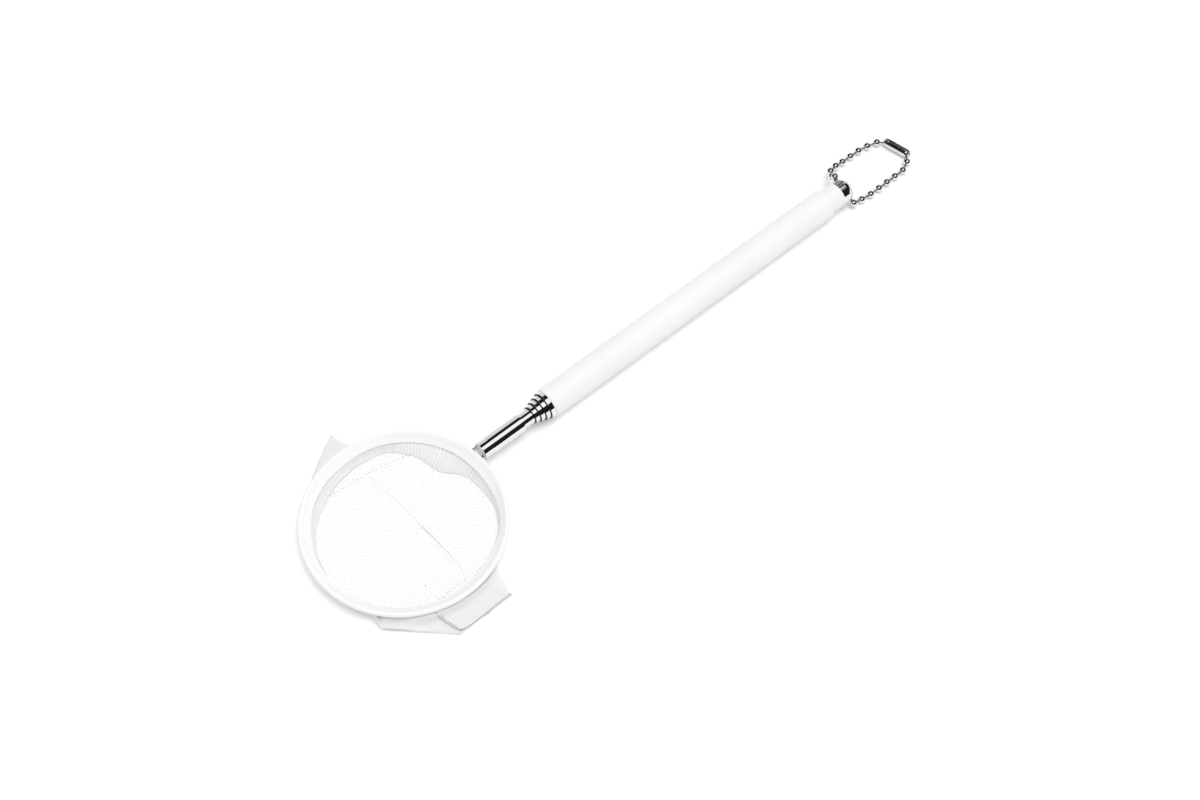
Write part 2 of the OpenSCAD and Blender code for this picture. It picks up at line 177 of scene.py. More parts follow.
class Nodes:
    """Adds nodes to a tree and links them, one line each."""

    def __init__(self, tree):
        self.tree = tree
        self.count = 0

    def add(self, kind, **settings):
        node = self.tree.nodes.new(kind)
        node.location = (self.count % 8 * 200 - 800, -(self.count // 8) * 260)
        self.count += 1
        for key, value in settings.items():
            setattr(node, key, value)
        return node

    def link(self, source, target):
        self.tree.links.new(source, target)

    def feed(self, target, value):
        """Links a socket, or sets a plain value."""
        if isinstance(value, bpy.types.NodeSocket):
            self.link(value, target)
        elif value is not None:
            target.default_value = value

    def math(self, operation, a, b=None, c=None):
        node = self.add("ShaderNodeMath", operation=operation)
        for socket, value in zip(node.inputs, (a, b, c)):
            self.feed(socket, value)
        return node.outputs[0]

    def ranged(self, value, low, high, to_low, to_high):
        node = self.add("ShaderNodeMapRange")
        for socket, v in zip(node.inputs, (value, low, high, to_low, to_high)):
            self.feed(socket, v)
        return node.outputs[0]

    def noise(self, vector, scale, detail=3.0, rough=0.55):
        node = self.add("ShaderNodeTexNoise")
        self.feed(node.inputs["Vector"], vector)
        node.inputs["Scale"].default_value = scale
        node.inputs["Detail"].default_value = detail
        node.inputs["Roughness"].default_value = rough
        return node.outputs["Fac"]

    def stretched(self, vector, scale):
        node = self.add("ShaderNodeMapping")
        self.link(vector, node.inputs["Vector"])
        node.inputs["Scale"].default_value = scale
        return node.outputs[0]

    def mixed(self, factor, a, b):
        node = self.add("ShaderNodeMix", data_type="RGBA")
        self.feed(node.inputs[0], factor)
        self.feed(node.inputs[6], a)
        self.feed(node.inputs[7], b)
        return node.outputs[2]

    def bump(self, height, strength, distance, normal=None):
        node = self.add("ShaderNodeBump")
        node.inputs["Strength"].default_value = strength
        node.inputs["Distance"].default_value = distance
        self.link(height, node.inputs["Height"])
        if normal is not None:
            self.link(normal, node.inputs["Normal"])
        return node.outputs[0]


def new_material(name):
    """A fresh node material: (material, node helper, surface shader, output)."""
    material = bpy.data.materials.new(name)
    material.use_nodes = True
    tree = material.node_tree
    tree.nodes.clear()
    n = Nodes(tree)
    out = n.add("ShaderNodeOutputMaterial")
    shader = n.add("ShaderNodeBsdfPrincipled")
    n.link(shader.outputs[0], out.inputs[0])
    return material, n, shader, out


def tint(colour, share):
    return (*[min(1.0, c * share) for c in colour], 1.0)


def plated(name, colour, rough=0.05, lines=(60, 900, 900), wear=0.05, lip=None):
    """Bright plating: polishing lines, faint clouding and a few dull specks; given a rim's front, a
    near-black band of painted shade behind it.
    """
    material, n, shader, _ = new_material(name)
    place = n.add("ShaderNodeTexCoord").outputs["Object"]
    drawn = n.noise(n.stretched(place, lines), 6.0, 4.0)
    cloud = n.noise(place, 260.0, 2.0)
    shader.inputs["Metallic"].default_value = 1.0
    base = n.mixed(n.ranged(cloud, 0.35, 0.75, 0.0, 1.0), tint(colour, 1.0), tint(colour, 0.93))
    if lip is not None:
        axes = n.add("ShaderNodeSeparateXYZ")
        n.link(place, axes.inputs[0])
        # Painted shade: near black from the front to 0.30 mm behind it, fading out by 0.44 mm, where shade
        # falls in the rolled rim.
        crease = n.ranged(axes.outputs[0], lip + 0.30 * MM, lip + 0.44 * MM, 0.0, 1.0)
        base = n.mixed(crease, tint(colour, 0.05), base)
    n.link(base, shader.inputs["Base Color"])
    dull = n.math("ADD", n.ranged(drawn, 0.3, 0.7, rough * 0.6, rough * 1.5),
                  n.ranged(cloud, 0.62, 0.8, 0.0, wear))
    n.link(dull, shader.inputs["Roughness"])
    n.link(n.bump(drawn, 0.05, 0.00002), shader.inputs["Normal"])
    return material


def moulded(name, colour, rough, grain=1800.0, depth=0.00003, sheen=0.0):
    """Moulded plastic or vinyl: a fine grain, soft clouding and slightly uneven gloss."""
    material, n, shader, _ = new_material(name)
    place = n.add("ShaderNodeTexCoord").outputs["Object"]
    fine = n.noise(place, grain, 4.0, 0.6)
    broad = n.noise(place, 55.0, 3.0)
    n.link(n.mixed(n.ranged(broad, 0.3, 0.7, 0.0, 1.0), tint(colour, 1.0), tint(colour, 0.965)),
           shader.inputs["Base Color"])
    n.link(n.ranged(n.math("ADD", broad, fine), 0.7, 1.3, rough * 0.88, rough * 1.12),
           shader.inputs["Roughness"])
    shader.inputs["Specular IOR Level"].default_value = 0.45
    shader.inputs["Sheen Weight"].default_value = sheen
    n.link(n.bump(fine, 0.35, depth), shader.inputs["Normal"])
    return material


def threads(n, coordinate, pitch, share):
    """1 on a thread and 0 in the gap, for threads that cross one coordinate."""
    phase = n.math("FRACT", n.math("DIVIDE", coordinate, pitch))
    distance = n.math("ABSOLUTE", n.math("SUBTRACT", phase, 0.5))
    return n.ranged(distance, share / 2 + 0.08, share / 2 - 0.08, 0.0, 1.0)


def open_mesh(name, colour, pitch, share):
    """Knitted mesh: soft white threads that let light through, with open holes between them."""
    material, n, shader, out = new_material(name)
    uv = n.add("ShaderNodeUVMap", uv_map="cloth")
    wander = n.noise(uv.outputs[0], 900.0, 2.0)
    axes = n.add("ShaderNodeSeparateXYZ")
    n.link(uv.outputs[0], axes.inputs[0])
    shift = n.math("MULTIPLY", n.math("SUBTRACT", wander, 0.5), pitch * 0.5)
    across = threads(n, n.math("ADD", axes.outputs[0], shift), pitch, share)
    along = threads(n, n.math("ADD", axes.outputs[1], shift), pitch, share)
    cover = n.math("MAXIMUM", across, along)
    layers = n.add("ShaderNodeAttribute", attribute_name="layers").outputs["Fac"]
    crossing = n.math("MULTIPLY", across, along)
    n.link(n.mixed(cover, tint(colour, 0.93), tint(colour, 1.0)), shader.inputs["Base Color"])
    shader.inputs["Roughness"].default_value = 0.78
    shader.inputs["Specular IOR Level"].default_value = 0.25
    shader.inputs["Sheen Weight"].default_value = 0.12
    n.link(n.bump(n.math("ADD", cover, crossing), 0.15, 0.00008), shader.inputs["Normal"])
    through = n.add("ShaderNodeBsdfTranslucent")
    through.inputs["Color"].default_value = tint(colour, 1.0)
    soft = n.add("ShaderNodeMixShader")
    soft.inputs[0].default_value = 0.1
    n.link(shader.outputs[0], soft.inputs[1])
    n.link(through.outputs[0], soft.inputs[2])
    hole = n.add("ShaderNodeBsdfTransparent")
    mix = n.add("ShaderNodeMixShader")
    n.link(n.math("MAXIMUM", n.math("MULTIPLY", cover, 0.68), layers), mix.inputs[0])
    n.link(hole.outputs[0], mix.inputs[1])
    n.link(soft.outputs[0], mix.inputs[2])
    n.link(mix.outputs[0], out.inputs[0])
    return material


def woven_tape(name, colour, pitch=0.42 * MM):
    """Close woven tape: crossing ribs, slubs, and a soft sheen."""
    material, n, shader, _ = new_material(name)
    uv = n.add("ShaderNodeUVMap", uv_map="cloth")
    axes = n.add("ShaderNodeSeparateXYZ")
    n.link(uv.outputs[0], axes.inputs[0])
    warp = n.math("SINE", n.math("MULTIPLY", axes.outputs[0], 2 * math.pi / pitch))
    weft = n.math("SINE", n.math("MULTIPLY", axes.outputs[1], 2 * math.pi / pitch))
    weave = n.math("MULTIPLY", warp, weft)
    slub = n.noise(n.stretched(uv.outputs[0], (400, 2600, 1)), 1.0, 3.0)
    shade = n.math("ADD", n.ranged(weave, -1.0, 1.0, 0.0, 0.6), n.ranged(slub, 0.3, 0.7, 0.0, 0.4))
    n.link(n.mixed(shade, tint(colour, 0.965), tint(colour, 1.0)), shader.inputs["Base Color"])
    shader.inputs["Roughness"].default_value = 0.8
    shader.inputs["Specular IOR Level"].default_value = 0.25
    shader.inputs["Sheen Weight"].default_value = 0.2
    n.link(n.bump(n.math("ADD", weave, slub), 0.3, 0.00004), shader.inputs["Normal"])
    return material


def spun_thread(name, colour):
    """Sewing thread with its twist."""
    material, n, shader, _ = new_material(name)
    place = n.add("ShaderNodeTexCoord").outputs["Object"]
    twist = n.noise(place, 6000.0, 2.0)
    n.link(n.mixed(twist, tint(colour, 0.9), tint(colour, 1.0)), shader.inputs["Base Color"])
    shader.inputs["Roughness"].default_value = 0.62
    n.link(n.bump(twist, 0.4, 0.00004), shader.inputs["Normal"])
    return material


def put_mesh(name, verts, faces, material, uvs=None):
    """A smooth mesh object at the origin, with its loops' cloth coordinates if given."""
    mesh = bpy.data.meshes.new(name)
    mesh.from_pydata([tuple(v) for v in verts], [], faces)
    mesh.polygons.foreach_set("use_smooth", [True] * len(mesh.polygons))
    if uvs is not None:
        layer = mesh.uv_layers.new(name="cloth")
        layer.data.foreach_set("uv", np.asarray(uvs, np.float32).ravel())
    mesh.materials.append(material)
    mesh.update()
    thing = bpy.data.objects.new(name, mesh)
    bpy.context.scene.collection.objects.link(thing)
    return thing


def refinish(nodes, material):
    """Gives CAD nodes a finish."""
    for node in nodes:
        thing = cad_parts[node]
        thing.data.materials.clear()
        thing.data.materials.append(material)


def smooth_line(points, steps):
    """Points along a smooth line through the given ones."""
    p = [np.array(q, float) for q in points]
    p = [2 * p[0] - p[1], *p, 2 * p[-1] - p[-2]]
    line = []
    for i in range(1, len(p) - 2):
        for k in range(steps):
            t = k / steps
            line.append(0.5 * (2 * p[i] + (p[i + 1] - p[i - 1]) * t
                               + (2 * p[i - 1] - 5 * p[i] + 4 * p[i + 1] - p[i + 2]) * t * t
                               + (3 * p[i] - 3 * p[i + 1] + p[i + 2] - p[i - 1]) * t ** 3))
    line.append(p[-2])
    return np.array(line)


def outline_radius(angle, outline):
    """How far an outline reaches from the hoop's centre in one direction, in metres, or 0."""
    direction = np.array([math.cos(angle), math.sin(angle)])
    reach = 0.0
    for a, b in zip(outline, outline[1:]):
        a, b = np.array(a) * HEM_OUTER, np.array(b) * HEM_OUTER
        edge = b - a
        d = direction[0] * edge[1] - direction[1] * edge[0]
        if abs(d) < 1e-12:
            continue
        t = (a[0] * edge[1] - a[1] * edge[0]) / d
        s = (a[0] * direction[1] - a[1] * direction[0]) / d
        if t > 0 and -1e-6 <= s <= 1 + 1e-6:
            reach = max(reach, t)
    return reach


def bump_at(angle, centre, half_width):
    """A smooth hump of height 1 round a direction, both in degrees."""
    off = abs((math.degrees(angle) - centre + 180) % 360 - 180) / half_width
    return 0.0 if off >= 1 else (0.5 + 0.5 * math.cos(math.pi * off))


def wave(angle, seed, turns):
    """Smooth noise that closes on itself round the hoop, from about -1 to 1."""
    return noise.noise(Vector((math.cos(angle) * turns, math.sin(angle) * turns, seed))) * 2


def slack_at(angle):
    """How far the slack wall comes in from the hem in one direction, in metres."""
    degrees = (math.degrees(angle) + 180) % 360 - 180
    return float(np.interp(degrees, [d for d, _ in GATHER], [w for _, w in GATHER])) * MM


def bulge_at(angle):
    """How far the cloth puffs up against the hem's outer side in one direction, from 0 to 1."""
    return min(1.0, 1.5 * bump_at(angle, 240, 70))


def band_at(angle, sizes):
    """Width of the hem's band in one direction: it is wider on the far left than beside the rod."""
    near = 0.8 * bump_at(angle, 322, 34) + 0.3 * bump_at(angle, 50, 50)
    return sizes.band_width + (0.3 * bump_at(angle, 142, 60) - near) * MM


def bag_profile(angle, sizes):
    """The bag's section in one direction: (radius, height over the table) from the hem to the floor."""
    flap = max(outline_radius(angle, LEFT_FLAP), outline_radius(angle, RIGHT_FLAP))
    slack = slack_at(angle) * sizes.gather
    bulge = bulge_at(angle)
    rest = HEM_OUTER * (0.935 + 0.012 * wave(angle, 3.1, 3.0)) - slack
    out = max(rest + 2.5 * MM * bulge, flap)
    open_flap = min(1.0, max(0.0, (out - HEM_OUTER) / (4 * MM)))
    tip = WIRE_RING - band_at(angle, sizes)
    hang = -TABLE_Z - sizes.band_drop
    far = (bump_at(angle, 214, 44) * 0.6 + bump_at(angle, 112, 70) * 1.5) * MM
    fold = tip - (1.1 * MM + slack + far + 0.2 * MM * wave(angle, 1.3, 9.0))
    lift = 0.06 * slack
    puff = 0.55 * MM * open_flap * (0.6 + 0.4 * wave(angle, 5.9, 6.0))
    tuck = min(HEM_OUTER - 3.0 * MM, fold + 1.8 * MM)
    tuck += (HEM_OUTER - 0.4 * MM - tuck) * open_flap
    closed = bulge * (1 - open_flap)
    middle = (out + tuck) / 2
    middle += (HEM_OUTER + 1.4 * MM - middle) * open_flap
    return [
        (tip + 0.55 * MM, hang - 0.42 * MM),
        (tip + 0.20 * MM, hang - 0.60 * MM),
        (tip - 0.20 * MM, hang - 1.20 * MM),
        ((3 * tip + fold) / 4, 0.66 * hang),
        ((tip + fold) / 2, 0.42 * hang + lift),
        (fold + 0.3 * MM, 1.00 * MM),
        (fold, 0.78 * MM),
        (fold + 0.6 * MM, 0.66 * MM),
        (tuck, 0.70 * MM + (0.9 * closed + 4.2 * bulge * open_flap) * MM),
        (middle, 0.85 * MM + puff + 3.3 * MM * closed),
        (out - (0.9 - 0.45 * closed) * MM, 0.75 * MM + 0.5 * puff + 4.6 * MM * closed),
        (out, 0.50 * MM + 4.2 * MM * closed),
        (out - (0.9 + 1.2 * closed) * MM, 0.28 * MM),
        ((out + fold) / 2 - 0.6 * MM, 0.24 * MM),
        (fold - 0.9 * MM, 0.24 * MM),
    ]


def layers_at(angle, row, valley):
    """How closely the cloth's layers cover each other at one point of the section, from 0 to 1."""
    flap = max(outline_radius(angle, LEFT_FLAP), outline_radius(angle, RIGHT_FLAP))
    spread = min(1.0, max(0.0, (flap - HEM_OUTER) / (2 * MM)))
    wall = (FOLDED_COVER - 0.3 * valley) * min(1.0, max(0.0, 1 - (row - 5.0) / 2.5))
    outside = FOLDED_COVER * max(bulge_at(angle), spread) if 7.0 < row < 12.5 else 0.0
    return max(wall, outside)


def bag_mesh(sizes, steps=3, floor_rings=13):
    """Vertices, faces, cloth coordinates and layer cover of the collapsed bag."""
    columns = sizes.columns
    angles = [2 * math.pi * i / columns for i in range(columns)]
    sections = [smooth_line(bag_profile(a, sizes), steps) for a in angles]
    rows = len(sections[0])
    girth = BAG_FLAT[0] / columns
    verts, flat, layers = [], [], []
    for i, (angle, section) in enumerate(zip(angles, sections)):
        lengths = np.concatenate([[0], np.cumsum(np.linalg.norm(np.diff(section, axis=0), axis=1))])
        gathered = min(1.0, slack_at(angle) / (3 * MM))
        turn = math.sin(angle * sizes.pleats + 3 * wave(angle, 8.2, 5.0))
        turn *= 0.75 + 0.25 * wave(angle, 2.7, 20.0)
        for k, (radius, height) in enumerate(section):
            upper = math.sin(math.pi * min(1.0, k / (7 * steps)))
            radius += 0.10 * MM * turn * upper
            x, y = radius * math.cos(angle), radius * math.sin(angle)
            loose = math.sin(math.pi * k / (rows - 1))
            crumple = noise.noise(Vector((x * 420, y * 420, height * 300))) * 0.20 * MM * loose
            crumple += turn * upper * (0.04 + 0.10 * gathered) * MM
            verts.append((HOOP_X + x, HOOP_Y + y, TABLE_Z + max(0.12 * MM, height + crumple)))
            flat.append((i * girth, lengths[k]))
            layers.append(layers_at(angle, k / steps, gathered * (0.5 - 0.5 * turn)))
    inner = [section[-1][0] for section in sections]
    for k in range(1, floor_rings):
        share = 1 - k / floor_rings
        for i, angle in enumerate(angles):
            x, y = inner[i] * share * math.cos(angle), inner[i] * share * math.sin(angle)
            verts.append((HOOP_X + x, HOOP_Y + y, TABLE_Z + floor_height(x, y, share)))
            flat.append((x, y))
    verts.append((HOOP_X, HOOP_Y, TABLE_Z + floor_height(0, 0, 0)))
    flat.append((0.0, 0.0))
    faces, uvs = [], []
    total = rows + floor_rings - 1

    def index(i, k):
        i %= columns
        return i * rows + k if k < rows else columns * rows + (k - rows) * columns + i

    for k in range(total - 1):
        for i in range(columns):
            quad = (index(i, k), index(i, k + 1), index(i + 1, k + 1), index(i + 1, k))
            faces.append(quad)
            for v in quad:
                if k >= rows - 1:
                    uvs.append((verts[v][0] - HOOP_X, verts[v][1] - HOOP_Y))
                else:
                    u, w = flat[v]
                    uvs.append((BAG_FLAT[0] if i == columns - 1 and u == 0 else u, w))
    centre = len(verts) - 1
    for i in range(columns):
        tri = (index(i, total - 1), centre, index(i + 1, total - 1))
        faces.append(tri)
        uvs += [(verts[v][0] - HOOP_X, verts[v][1] - HOOP_Y) for v in tri]
    layers += [0.0] * (len(verts) - len(layers))
    flap_layer(verts, faces, uvs)
    layers += [FOLDED_COVER] * (len(verts) - len(layers))
    return verts, faces, uvs, layers


def flap_height(x, y):
    """Height over the table of the right flap's upper layer, in metres."""
    out = min(1.0, max(0.0, (-36.0 * MM - y) / (12 * MM)))
    soft = 0.30 * MM * noise.noise(Vector((x * 160, y * 160, 3.3)))
    beside = math.exp(-((math.hypot(x, y) - HEM_OUTER + 0.4 * MM) / (1.1 * MM)) ** 2)
    return (1.75 - 0.35 * out) * MM + soft + 3.2 * MM * bulge_at(math.atan2(y, x)) * beside


def flap_layer(verts, faces, uvs, across=64, along=36):
    """Adds the upper layer of the right flap, with its hemmed outer edge turned under."""
    inner = smooth_line(FLAP_INNER, 8) * MM
    outer = smooth_line(FLAP_OUTER, 8) * MM
    first = len(verts)
    share = np.linspace(0, 1, across + 1)
    place = np.linspace(0, 1, len(inner))
    low = np.stack([np.interp(share, place, inner[:, c]) for c in range(2)], axis=1)
    high = np.stack([np.interp(share, place, outer[:, c]) for c in range(2)], axis=1)
    turned = 6
    for i in range(across + 1):
        corner = 0.9 * MM * (max(0.0, 1 - i / 3) ** 2 + max(0.0, 1 - (across - i) / 3) ** 2)
        for k in range(along + turned + 1):
            t = min(1.0, k / along)
            x, y = low[i] + (high[i] - low[i]) * t
            y += corner * t
            x += 0.5 * MM * math.sin(math.pi * t) * (1 if i in (0, across) else 0)
            height = flap_height(x, y)
            if k > along:
                turn = math.pi * (k - along) / turned
                height += 0.16 * MM * (math.cos(turn) - 1)
                y += 1.6 * MM * max(0.0, turn / math.pi - 0.5) - 0.16 * MM * math.sin(turn)
            verts.append((HOOP_X + x, HOOP_Y + y, TABLE_Z + height))
    wide = along + turned + 1
    for i in range(across):
        for k in range(wide - 1):
            a = first + i * wide + k
            quad = (a, a + 1, a + wide + 1, a + wide)
            faces.append(quad)
            uvs += [(verts[v][0] - HOOP_X, verts[v][1] - HOOP_Y) for v in quad]


def line_distance(x, y, line):
    """Distance from a point to a line through points in millimetres, in metres."""
    best = 1.0
    for (ax, ay), (bx, by) in zip(line, line[1:]):
        a, b = Vector((ax * MM, ay * MM)), Vector((bx * MM, by * MM))
        edge = b - a
        t = min(1.0, max(0.0, (Vector((x, y)) - a).dot(edge) / edge.length_squared))
        best = min(best, (Vector((x, y)) - a - edge * t).length)
    return best


def floor_height(x, y, share):
    """Height of the bag's floor over the table: flat, with soft rises and a ridge at each seam."""
    seam = min(line_distance(x, y, line) for line in FLOOR_SEAMS)
    ridge = 0.35 * MM * math.exp(-(seam / (0.9 * MM)) ** 2)
    soft = 0.26 * MM * (noise.noise(Vector((x * 75, y * 75, 2.0))) + 0.35)
    fine = 0.08 * MM * noise.noise(Vector((x * 330, y * 330, 5.0)))
    return max(0.14 * MM, 0.26 * MM + min(1.0, (1 - share) * 5) * (max(0.0, soft) + fine) + ridge)


def hem_section(sizes, width):
    """The hem's closed section: (radius, height from the wire), and how freely each point puckers."""
    wire = WIRE_RING
    tube = HEM_TUBE
    slope = math.atan2(sizes.band_drop, width)
    edge = 0.34 * MM
    points = []
    for k in range(13):
        a = math.radians(-60 + k * 15)
        points.append((wire + tube * math.cos(a), tube * math.sin(a), 0.0))
    start = math.radians(120) + slope * 0.4
    top = (wire + tube * math.cos(start), tube * math.sin(start))
    tip = (wire - width, -sizes.band_drop + edge)
    foot = (wire - width, -sizes.band_drop - edge)
    low = (wire + tube * math.cos(math.radians(-110)), tube * math.sin(math.radians(-110)))
    for k in range(1, 9):
        t = k / 9
        sag = -0.22 * MM * math.sin(math.pi * t)
        points.append((top[0] + (tip[0] - top[0]) * t, top[1] + (tip[1] - top[1]) * t + sag, t))
    for k in range(5):
        a = math.pi / 2 + math.pi * k / 4
        points.append((tip[0] + edge * 0.8 * math.cos(a), (tip[1] + foot[1]) / 2 + edge * math.sin(a), 1.0))
    for k in range(1, 8):
        t = 1 - k / 8
        points.append((low[0] + (foot[0] - low[0]) * t, low[1] + (foot[1] - low[1]) * t, t))
    return points


def hem_mesh(sizes, columns=900):
    """Vertices, faces and cloth coordinates of the puckered hem."""
    section = hem_section(sizes, sizes.band_width)
    around = len(section)
    lengths = [0.0]
    for a, b in zip(section, section[1:] + section[:1]):
        lengths.append(lengths[-1] + math.hypot(b[0] - a[0], b[1] - a[1]))
    verts, faces, uvs = [], [], []
    girth = 2 * math.pi * HEM_OUTER / columns
    for i in range(columns):
        angle = 2 * math.pi * i / columns
        ripple = math.sin(angle * 74 + 5 * wave(angle, 2.2, 2.0)) * (0.55 + 0.45 * wave(angle, 4.4, 5.0))
        drift = wave(angle, 9.1, 2.4)
        for k, (radius, height, free) in enumerate(hem_section(sizes, band_at(angle, sizes))):
            crease = sizes.pucker * free ** 1.2 * ripple
            edge = 0.22 * MM * free * drift
            round_off = 0.05 * MM * (1 - free) * wave(angle + k * 0.7, 6.6, 30.0)
            r = radius + edge + 0.4 * crease + round_off
            verts.append((HOOP_X + r * math.cos(angle), HOOP_Y + r * math.sin(angle),
                          height + crease + 0.12 * MM * free * drift))
    for i in range(columns):
        for k in range(around):
            j, m = (i + 1) % columns, (k + 1) % around
            faces.append((i * around + k, j * around + k, j * around + m, i * around + m))
            uvs += [(i * girth, lengths[k]), ((i + 1) * girth, lengths[k]),
                    ((i + 1) * girth, lengths[k + 1]), (i * girth, lengths[k + 1])]
    return verts, faces, uvs


def stitch_tree():
    """Geometry Nodes that lay stitches end to end along the edges of a path."""
    tree = bpy.data.node_groups.new("Stitches", "GeometryNodeTree")
    face = tree.interface
    face.new_socket("Path", in_out="INPUT", socket_type="NodeSocketGeometry")
    for name, value in (("Step", 1.9 * MM), ("Length", 1.35 * MM), ("Thread", 0.12 * MM), ("Slant", 0.06)):
        face.new_socket(name, in_out="INPUT", socket_type="NodeSocketFloat").default_value = value
    face.new_socket("Seed", in_out="INPUT", socket_type="NodeSocketInt").default_value = 11
    face.new_socket("Material", in_out="INPUT", socket_type="NodeSocketMaterial")
    face.new_socket("Stitches", in_out="OUTPUT", socket_type="NodeSocketGeometry")
    n = Nodes(tree)
    start = n.add("NodeGroupInput")
    end = n.add("NodeGroupOutput")
    curve = n.add("GeometryNodeMeshToCurve")
    n.link(start.outputs["Path"], curve.inputs["Mesh"])
    even = n.add("GeometryNodeResampleCurve", mode="LENGTH")
    n.link(curve.outputs[0], even.inputs["Curve"])
    n.link(start.outputs["Step"], even.inputs["Length"])
    tangent = n.add("GeometryNodeInputTangent")
    turn = n.add("FunctionNodeAlignRotationToVector", axis="X")
    n.link(tangent.outputs[0], turn.inputs["Vector"])
    chance = n.add("FunctionNodeRandomValue", data_type="FLOAT")
    low = n.add("ShaderNodeMath", operation="MULTIPLY")
    n.link(start.outputs["Slant"], low.inputs[0])
    low.inputs[1].default_value = -1.0
    n.link(low.outputs[0], chance.inputs[2])
    n.link(start.outputs["Slant"], chance.inputs[3])
    n.link(start.outputs["Seed"], chance.inputs["Seed"])
    slant = n.add("FunctionNodeAxisAngleToRotation")
    slant.inputs["Axis"].default_value = (0, 0, 1)
    n.link(chance.outputs[1], slant.inputs["Angle"])
    both = n.add("FunctionNodeRotateRotation", rotation_space="LOCAL")
    n.link(turn.outputs[0], both.inputs["Rotation"])
    n.link(slant.outputs[0], both.inputs["Rotate By"])
    stitch = n.add("GeometryNodeMeshUVSphere")
    stitch.inputs["Segments"].default_value = 6
    stitch.inputs["Rings"].default_value = 5
    stitch.inputs["Radius"].default_value = 1.0
    half = n.add("ShaderNodeMath", operation="MULTIPLY")
    n.link(start.outputs["Length"], half.inputs[0])
    half.inputs[1].default_value = 0.5
    size = n.add("ShaderNodeCombineXYZ")
    n.link(half.outputs[0], size.inputs[0])
    n.link(start.outputs["Thread"], size.inputs[1])
    n.link(start.outputs["Thread"], size.inputs[2])
    lay = n.add("GeometryNodeInstanceOnPoints")
    n.link(even.outputs[0], lay.inputs["Points"])
    n.link(stitch.outputs["Mesh"], lay.inputs["Instance"])
    n.link(both.outputs[0], lay.inputs["Rotation"])
    n.link(size.outputs[0], lay.inputs["Scale"])
    real = n.add("GeometryNodeRealizeInstances")
    n.link(lay.outputs[0], real.inputs[0])
    shade = n.add("GeometryNodeSetShadeSmooth")
    n.link(real.outputs[0], shade.inputs[0])
    finish = n.add("GeometryNodeSetMaterial")
    n.link(shade.outputs[0], finish.inputs["Geometry"])
    n.link(start.outputs["Material"], finish.inputs["Material"])
    n.link(finish.outputs[0], end.inputs[0])
    return tree


def stitch_along(name, paths, closed, material, sizes, step=None, length=None, thread=None):
    """Stitches along paths of points, as one plain mesh at the origin."""
    verts, edges = [], []
    for path in paths:
        first = len(verts)
        verts += [tuple(p) for p in path]
        edges += [(first + i, first + i + 1) for i in range(len(path) - 1)]
        if closed:
            edges.append((len(verts) - 1, first))
    mesh = bpy.data.meshes.new(name + "_path")
    mesh.from_pydata(verts, edges, [])
    thing = bpy.data.objects.new(name, mesh)
    bpy.context.scene.collection.objects.link(thing)
    tree = bpy.data.node_groups.get("Stitches") or stitch_tree()
    modifier = thing.modifiers.new("Stitches", "NODES")
    modifier.node_group = tree
    values = {"Step": step or sizes.stitch_step, "Length": length or sizes.stitch_length,
              "Thread": thread or sizes.thread_radius, "Material": material}
    for item in tree.interface.items_tree:
        if item.in_out == "INPUT" and item.name in values:
            modifier[item.identifier] = values[item.name]
    bpy.context.view_layer.update()
    graph = bpy.context.evaluated_depsgraph_get()
    plain = bpy.data.meshes.new_from_object(thing.evaluated_get(graph), depsgraph=graph)
    if not plain.polygons:
        raise RuntimeError(f"no stitches came out of the path of {name}")
    thing.modifiers.clear()
    thing.data = plain
    plain.name = name
    if material.name not in [m.name for m in plain.materials if m]:
        plain.materials.clear()
        plain.materials.append(material)
    return thing


def ring_path(radius, height, swing, seed, count=360):
    """A closed path round the hoop, its radius a function of the direction, at a height over the wire."""
    path = []
    for i in range(count):
        a = 2 * math.pi * i / count
        r = radius(a) + swing * wave(a, seed, 3.0)
        path.append((HOOP_X + r * math.cos(a), HOOP_Y + r * math.sin(a), height))
    return path


class FISHNET_OT_plating(bpy.types.Operator):
    """Bright plating on the tubes, ferrule, cap, wire and chain"""

    bl_idname = "fishnet.plating"
    bl_label = "Plate the Metal"

    def execute(self, context):
        colour = context.scene.fishnet_colours.plate
        refinish(["section_1_tube", "ferrule"], plated("bright_tube", colour, 0.045))
        for tube in ("section_2_tube", "section_3_tube", "section_4_tube", "outer_tube"):
            # Each drawn tube gets the band of painted shade behind its front rim.
            refinish([tube], plated(tube, colour, 0.045, lip=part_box(tube)[0].x))
        refinish(["end_cap"], plated("bright_cap", colour, 0.04, (300, 300, 300)))
        # Painted shade: the hoop wire's plating is toned down to 0.86 of the bright plating, for the shade
        # on the wire at the ferrule's mouth.
        refinish(["hoop_wire"], plated("spring_wire_painted_shade", tint(colour, 0.86)[:3], 0.14, (200, 200, 200), 0.1))
        refinish(["chain_lead_beads", "chain_mid_beads", "chain_far_beads"],
                 plated("chain_bead", tint(colour, 0.98)[:3], 0.025, (500, 500, 500), 0.03))
        # Painted shade and painted reflection: the links' plating is cut to half brightness for the beads'
        # shadows and the dark beads the links mirror.
        refinish(["chain_lead_links", "chain_mid_links", "chain_far_links"],
                 plated("chain_link_painted_shade", tint(colour, 0.50)[:3], 0.24, (500, 500, 500), 0.1))
        refinish(["chain_connector"],
                 plated("chain_clasp", tint(colour, 0.94)[:3], 0.09, (300, 300, 300), 0.08))
        springs = [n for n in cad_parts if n.endswith("_spring")]
        refinish(springs, plated("spring_strip", (0.72, 0.55, 0.27), 0.22, (400, 400, 400), 0.15))
        return {"FINISHED"}


